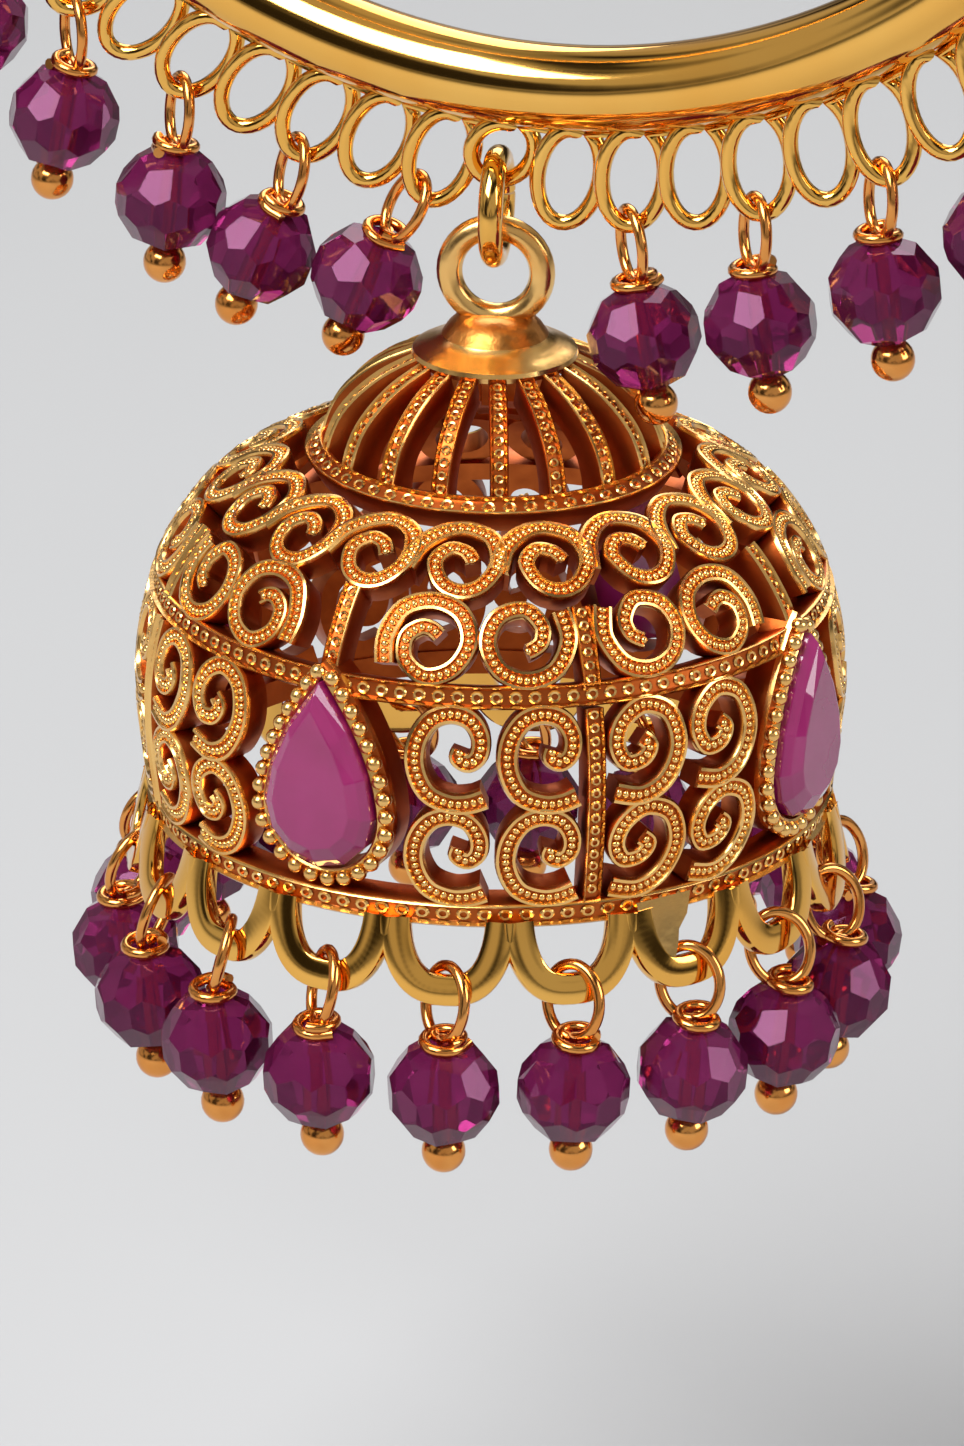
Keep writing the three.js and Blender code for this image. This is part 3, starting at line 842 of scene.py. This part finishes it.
broad_outline = section_curve("broad_outline", [(x * PANEL_BROAD, y) for x, y in SCROLL_SECTION])
c_hook = scroll_drawing("c_hook", [
    (1.3, -1.48), (0.75, -1.68), (0.05, -1.7), (-0.75, -1.32), (-1.18, -0.4), (-1.12, 0.55),
    (-0.65, 1.3), (0.05, 1.56), (0.75, 1.35), (1.12, 0.75), (1.08, 0.12), (0.72, -0.2),
    (0.36, -0.02), (0.42, 0.26)],
    broad_outline)
c_wound = scroll_drawing("c_wound", [
    (-1.3, -1.5), (-0.3, -1.72), (0.6, -1.32), (1.14, -0.4), (1.17, 0.45), (0.78, 1.25), (-0.1, 1.56),
    (-0.92, 1.05), (-1.2, 0.25), (-0.88, -0.42), (-0.22, -0.38), (0.08, 0.05), (-0.22, 0.38)],
    broad_outline)
panels = []
for bar in BAR_AZIMUTHS:
    for offset in PANEL_OFFSETS:
        for depth in PANEL_DEPTHS:
            panels.append(laid_on(bell_shape, c_hook, bar - offset, depth))
            panels.append(laid_on(bell_shape, c_wound, bar + offset, depth))
bell_panels = joined("bell_panels", panels)
bell_panels.data.transform(bell_place)
smooth(bell_panels, 50)
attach(bell_panels, "bell")

# --- Bell: bands and bars --------------------------------------------------------------
# The rest of the casting's frame: a band round the middle, one at the rim, upright bars
# between them, and struts over the bars and the stones. All are punched like the ribs.

MIDDLE_BAND_DEPTH = 11.85
RIM_BAND_DEPTH = 20.12
BAR_LENGTH = 7.4
BAR_DEPTH = 16.0
STRUT_LENGTH = 3.0
STRUT_DEPTH = 10.35              # of the struts over the bars
STONE_STRUT_DEPTH = 10.0         # of those over the stones, half a sector before each bar
BAR_RINGLETS = 0.48              # from one ringlet to the next

frame_parts = band("middle_band", bell_shape, MIDDLE_BAND_DEPTH, half=0.42, count=112, long=1.25)
frame_parts += band("rim_band", bell_shape, RIM_BAND_DEPTH, half=0.46, count=105, long=1.4)
bar_model = strip_drawing("bar", BAR_LENGTH, BAR_RINGLETS)
strut_model = strip_drawing("strut", STRUT_LENGTH, BAR_RINGLETS)
for bar in BAR_AZIMUTHS:
    stone = bar - 180 / SECTORS
    frame_parts.append(laid_on(bell_shape, bar_model, bar, BAR_DEPTH))
    frame_parts.append(laid_on(bell_shape, strut_model, bar, STRUT_DEPTH))
    frame_parts.append(laid_on(bell_shape, strut_model, stone, STONE_STRUT_DEPTH))
bell_frame = joined("bell_frame", frame_parts)
bell_frame.data.transform(bell_place)
smooth(bell_frame, 50)
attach(bell_frame, "bell")

# --- Bell: scallops --------------------------------------------------------------------
# Flat cast loops under the rim band, one for each drop, filed and polished. One came out of
# the mould half filled, with a flat web across it.

SCALLOPS = 18
SCALLOP_TURN = 1.5        # degrees
SCALLOP_HALF_WIDTH = 1.9
SCALLOP_DEPTH = 2.6
SCALLOP_BAR = 0.57        # half of the loop's broad face, and under it half of its thickness
SCALLOP_THICK = 0.3
SCALLOP_EDGE = 0.14
SCALLOP_STEPS = 32
SCALLOP_SQUARE = 0.72     # 1 is an ellipse, less is squarer
SCALLOP_LEAN = 14         # degrees outwards
SCALLOP_ROOT = 0.25       # what the loops' ends stand up behind the rim band
WEBBED = 3                # which loop has the web, counted anticlockwise from the front
WEB_HALF = 0.27           # half of its thickness
WEB_SPAN = slice(2, 14)   # the part of the loop's path that the web lies along

rim_radius, rim_depth = BELL_LINE[-1]
scallop_outline = section_curve("scallop_outline", [
    (-SCALLOP_BAR, -SCALLOP_THICK), (-SCALLOP_BAR, SCALLOP_THICK), (SCALLOP_BAR, SCALLOP_THICK),
    (SCALLOP_BAR, -SCALLOP_THICK)])
scallop_path = [
    (math.copysign(SCALLOP_HALF_WIDTH * abs(math.cos(angle)) ** SCALLOP_SQUARE, -math.cos(angle)),
     -SCALLOP_DEPTH * math.sin(angle))
    for angle in (math.pi * step / SCALLOP_STEPS for step in range(SCALLOP_STEPS + 1))]
scallop_model = ribbon("scallop_model", scallop_path, scallop_outline)
scallop_model = bevel_edges(scallop_model, SCALLOP_EDGE * MM, 2, 60)
web_curve = section_curve("web", [
    (-2.0, 0.3), *scallop_path[WEB_SPAN], (-0.42, -1.5), (-0.32, -1.0), (0.1, -0.5), (0.35, 0.3)])
web_curve.data.fill_mode = "BOTH"
web_curve.data.extrude = WEB_HALF * MM
select_only(web_curve)
bpy.ops.object.convert(target="MESH")
web_model = taken("web_model")
scallop_lean = (Matrix.Rotation(-math.radians(SCALLOP_LEAN), 4, "X")
                @ Matrix.Rotation(math.pi / 2, 4, "X"))


def scallop_place(index):
    """Where a scallop's ends meet the rim, with -Y of the drawing down."""
    azimuth = math.radians(SCALLOP_TURN + 360 * index / SCALLOPS)
    stand = Matrix.Translation((0, -rim_radius * MM, -(rim_depth - SCALLOP_ROOT) * MM))
    return bell_place @ Matrix.Rotation(azimuth, 4, "Z") @ stand @ scallop_lean


scallop_copies = [copy_of(scallop_model, "scallop", scallop_place(i)) for i in range(SCALLOPS)]
scallop_copies = [give(scallop, polished_gold) for scallop in scallop_copies]
scallop_copies.append(give(copy_of(web_model, "web_cast", scallop_place(WEBBED)), cast_gold))
bell_scallops = smooth(joined("bell_scallops", scallop_copies), 40)
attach(bell_scallops, "bell")

# --- Stones and bezels -----------------------------------------------------------------
# Four pear-cut pink glass stones with a broad table, each in a bezel whose lip is milled to
# a row of round grains.

STONE_WIDTH = 4.4
STONE_HEIGHT = 7.1
STONE_DEPTH = 15.2
STONE_SEAT = 12.6        # radius at the stone's back
STONE_GIRDLE = 0.75
STONE_THICK = 1.35
STONE_EDGE = 0.03
CROWN_RISE = 0.32        # of the crown's steep facets
CROWN_INSET = (0.5, 0.65)     # what the stone loses in width and height by their top
TABLE_INSET = (1.3, 1.75)     # and by its table
BEZEL_STEPS = 12
LIP_ROOM = (0.34, 0.5)        # what the lip and the row of grains are wider and higher than
GRAIN_ROOM = (0.8, 1.05)      # the stone
BEZEL_GRAIN = 0.31
BEZEL_GRAIN_HEIGHT = 0.38
BEZEL_SPACING = 0.68
SEAT_SINK = 0.3          # what the stones sit deeper than the bell's plain solid shows

# Pink glass with a milky body, so light spreads in it, under a polished surface.
pink_stone = new_material("moulded_glass_pink")
pink, _ = mottled(pink_stone, "#B02C78", "#8E1458", patch_mm=2.5, detail=3)
finish_material(pink_stone, add_node(
    pink_stone, "ShaderNodeBsdfPrincipled",
    {"Roughness": 0.08, "IOR": 1.52, "Transmission Weight": 0.3, "Coat Weight": 0.5},
    {"Base Color": pink}))


def pear_outline(width, height, steps):
    """Pear with its tip up, centred on its height, anticlockwise from the tip."""
    round_end = width / 2
    low = round_end - height / 2
    knee = Vector((-0.95 * round_end, 0.13 * height))
    tip, side = Vector((0, height / 2)), Vector((-round_end, low))
    left = [tip * (1 - t) ** 2 + knee * 2 * t * (1 - t) + side * t ** 2
            for t in (i / steps for i in range(steps))]
    foot = [Vector((round_end * math.cos(a), low + round_end * math.sin(a)))
            for a in (math.pi + math.pi * i / (2 * steps) for i in range(2 * steps + 1))]
    right = [Vector((-p.x, p.y)) for p in reversed(left[1:])]
    return left + foot + right


def stone_level(inset, up):
    """The stone's outline at this height, in by this much of its width and height."""
    outline = pear_outline(STONE_WIDTH - inset[0], STONE_HEIGHT - inset[1], 3)
    return [(p.x * MM, p.y * MM, up * MM) for p in outline]


def make_stone():
    """Pavilion and girdle straight, then a crown of flat facets up to the table."""
    levels = [
        stone_level((0, 0), 0),
        stone_level((0, 0), STONE_GIRDLE),
        stone_level(CROWN_INSET, STONE_GIRDLE + CROWN_RISE),
        stone_level(TABLE_INSET, STONE_THICK),
    ]
    count = len(levels[0])
    faces = [tuple(reversed(range(count)))]
    for level in range(len(levels) - 1):
        for i in range(count):
            j = (i + 1) % count
            a, b = level * count, (level + 1) * count
            faces.append((a + i, a + j, b + j, b + i))
    faces.append(tuple(range(3 * count, 4 * count)))
    obj = faceted("stone_model", [point for level in levels for point in level], faces)
    return bevel_edges(obj, STONE_EDGE * MM, 1, 5)


def seat_place(index):
    """Where a stone's back lies, with +Y of the drawing up and +Z outwards."""
    turn = Matrix.Rotation(2 * math.pi * index / SECTORS, 4, "Z")
    stand = Matrix.Translation((0, -(STONE_SEAT - SEAT_SINK) * MM, -STONE_DEPTH * MM))
    return bell_place @ turn @ stand @ Matrix.Rotation(math.pi / 2, 4, "X")


bpy.ops.mesh.primitive_uv_sphere_add(segments=12, ring_count=8, radius=1)
bezel_ball = taken("bezel_ball")
stone_model = make_stone()
for index in range(SECTORS):
    node = f"pear_stone_{index + 1}"
    stone = give(copy_of(stone_model, f"{node}_cut", seat_place(index)), pink_stone)
    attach(stone, "bell")
    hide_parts(node)



def round_stone(room):
    """The stone's outline with this much more width and height."""
    outline = pear_outline(STONE_WIDTH + room[0], STONE_HEIGHT + room[1], BEZEL_STEPS)
    return [(p.x, p.y) for p in outline]


lip_outline = section_curve("lip_outline", [
    (-0.12, -1.0), (-0.12, 0.5), (-0.04, 0.55), (0.06, 0.48), (0.16, 0.3), (0.42, 0.2), (0.46, 0.0),
    (0.42, -1.0)])
bezel_lip = ribbon("bezel_lip", round_stone(LIP_ROOM), lip_outline, closed=True)
give(bezel_lip, cast_gold, antiqued_and_painted_shade_gold)
# Painted shade on the lip's side walls, and antiquing on its shelf between these heights.
antique_channel_and_shade_walls(bezel_lip, 0.2, 0.3)
grain_path = round_stone(GRAIN_ROOM)
bezel_grains = row_along(grain_path + grain_path[:1], bezel_ball, BEZEL_SPACING, BEZEL_GRAIN,
                         BEZEL_GRAIN_HEIGHT)
bezel_model = joined("bezel_model", [bezel_lip, bezel_grains])
bell_bezels = joined("bell_bezels", [copy_of(bezel_model, "bezel", seat_place(i))
                                     for i in range(SECTORS)])
smooth(bell_bezels, 50)
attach(bell_bezels, "bell")

# --- Rim drops -------------------------------------------------------------------------
# The same drops as on the hoop, one on each scallop, pushed outwards by the scallop's slant.

RIM_EYE_YAW = 45          # degrees, as are the leans
RIM_EYE_LEAN = 20
RIM_BEAD_LEAN = -6
RIM_BEAD_TURN_STEP = 31

hook_radius = rim_radius + SCALLOP_DEPTH * math.sin(math.radians(SCALLOP_LEAN))
hook_depth = rim_depth - SCALLOP_ROOT + SCALLOP_DEPTH * math.cos(math.radians(SCALLOP_LEAN))
for index in range(SCALLOPS):
    azimuth = math.radians(SCALLOP_TURN + 360 * index / SCALLOPS)
    hook = Vector((hook_radius * math.sin(azimuth), -hook_radius * math.cos(azimuth),
                   -hook_depth)) * MM
    place = bell_place @ Matrix.Translation(hook) @ Matrix.Rotation(azimuth - math.pi / 2, 4, "Z")
    make_drop(f"rim_drop_{index + 1:02d}", "bell", place, SCALLOP_BAR * MM, 90 + RIM_EYE_YAW,
              RIM_EYE_LEAN, RIM_BEAD_LEAN, RIM_BEAD_TURN_STEP * index)

# The drawings that the pieces were copied from are of no more use.
for model in (bead_model, eye_model, pin_model, grain_model, ringlet_model, wave, curl_out, curl_in,
              c_hook, c_wound, rib_model, bar_model, strut_model, stone_model, bezel_ball, bezel_model,
              scallop_model, web_model, scroll_outline, broad_outline, strip_outline, scallop_outline,
              lip_outline):
    bpy.data.objects.remove(model)

# --- Floor, light and camera -----------------------------------------------------------
# A pale floor under the hanging earring, broad soft lights, and a camera looking down on
# the bell from the front right.

CAMERA_AZIMUTH = 26.0         # degrees, as are the elevation and the roll
CAMERA_ELEVATION = 22.3
CAMERA_DISTANCE = 311 * MM
CAMERA_ROLL = 0.7
CAMERA_SENSOR = 36
VIEW_HEIGHT = 1446 / 27000    # metres at the bell's axis that the frame's height takes in
AIM_BELOW_RING = 17.85 * MM
AIM_ASIDE = -0.3 * MM
FLOOR_DROP = 30 * MM          # under the earring's lowest point
LIGHT_DISTANCE = 0.5

# Matt paper, hardly mottled, so that the floor stays an even pale grey.
floor_grey = new_material("paper_pale_grey")
paper, _ = mottled(floor_grey, "#BBBCBE", "#B6B7B9", patch_mm=1000 / 12, detail=2)
finish_material(floor_grey, add_node(floor_grey, "ShaderNodeBsdfPrincipled", {"Roughness": 0.9},
                                     {"Base Color": paper}))
bpy.ops.object.select_all(action="DESELECT")
bpy.ops.mesh.primitive_circle_add(vertices=96, radius=3, fill_type="NGON",
                                  location=(0, 0, cad_box[0][2] - FLOOR_DROP))
floor = give(taken("floor"), floor_grey)


def way_to(azimuth, elevation):
    """The direction from the bell to something seen at these angles."""
    turn, rise = math.radians(azimuth), math.radians(elevation)
    return Vector((math.sin(turn) * math.cos(rise), -math.cos(turn) * math.cos(rise),
                   math.sin(rise)))


def soft_light(name, size, watts, azimuth, elevation):
    """A square soft box that looks at the bell from this direction."""
    lamp = bpy.data.lights.new(name, "AREA")
    lamp.size = size
    lamp.energy = watts
    obj = placed(name, lamp)
    back = way_to(azimuth, elevation)
    obj.location = bell_centre + back * LIGHT_DISTANCE
    obj.rotation_euler = back.to_track_quat("Z", "Y").to_euler()
    obj.visible_camera = False


soft_light("key", size=0.3, watts=3.3, azimuth=-20, elevation=50)
soft_light("side", size=0.25, watts=1.2, azimuth=95, elevation=25)
soft_light("back", size=0.3, watts=0.9, azimuth=200, elevation=40)

# Surroundings that light the scene and show in the metal: broad bright cards with dark gaps.
# The camera itself sees a plain pale grey.
world = bpy.data.worlds.new("studio")
world.use_nodes = True
bpy.context.scene.world = world
sky = world.node_tree.nodes["Background"]
sky_place = add_node(world, "ShaderNodeTexCoord").outputs["Generated"]
cards = add_node(world, "ShaderNodeTexNoise", {"Scale": 2.2, "Detail": 1}, {"Vector": sky_place})
contrast = add_node(world, "ShaderNodeValToRGB", links={"Fac": cards.outputs["Fac"]})
contrast.color_ramp.elements[0].position = 0.42
contrast.color_ramp.elements[0].color = linear("#3A3632")
contrast.color_ramp.elements[1].position = 0.56
contrast.color_ramp.elements[1].color = linear("#F2F0EC")
seen = add_node(world, "ShaderNodeLightPath").outputs["Is Camera Ray"]
shown = add_node(world, "ShaderNodeMix", {"data_type": "RGBA", 7: linear("#D6D7D5")},
                 {"Factor": seen, 6: contrast.outputs["Color"]})
world.node_tree.links.new(shown.outputs[2], sky.inputs["Color"])
sky.inputs["Strength"].default_value = 0.55

back = way_to(CAMERA_AZIMUTH, CAMERA_ELEVATION)
lens = bpy.data.cameras.new("camera")
lens.sensor_width = CAMERA_SENSOR
lens.lens = CAMERA_DISTANCE / VIEW_HEIGHT * CAMERA_SENSOR
lens.clip_start, lens.clip_end = 0.01, 10
camera = placed("camera", lens)
turn = math.radians(CAMERA_AZIMUTH)
aside = Vector((math.cos(turn), math.sin(turn), 0)) * AIM_ASIDE
camera.location = bell_centre - Vector((0, 0, AIM_BELOW_RING)) + aside + back * CAMERA_DISTANCE
camera.rotation_mode = "QUATERNION"
camera.rotation_quaternion = ((-back).to_track_quat("-Z", "Y").to_matrix()
                              @ Matrix.Rotation(math.radians(CAMERA_ROLL), 3, "Z")).to_quaternion()
bpy.context.scene.camera = camera
bpy.context.scene.view_settings.view_transform = "Standard"
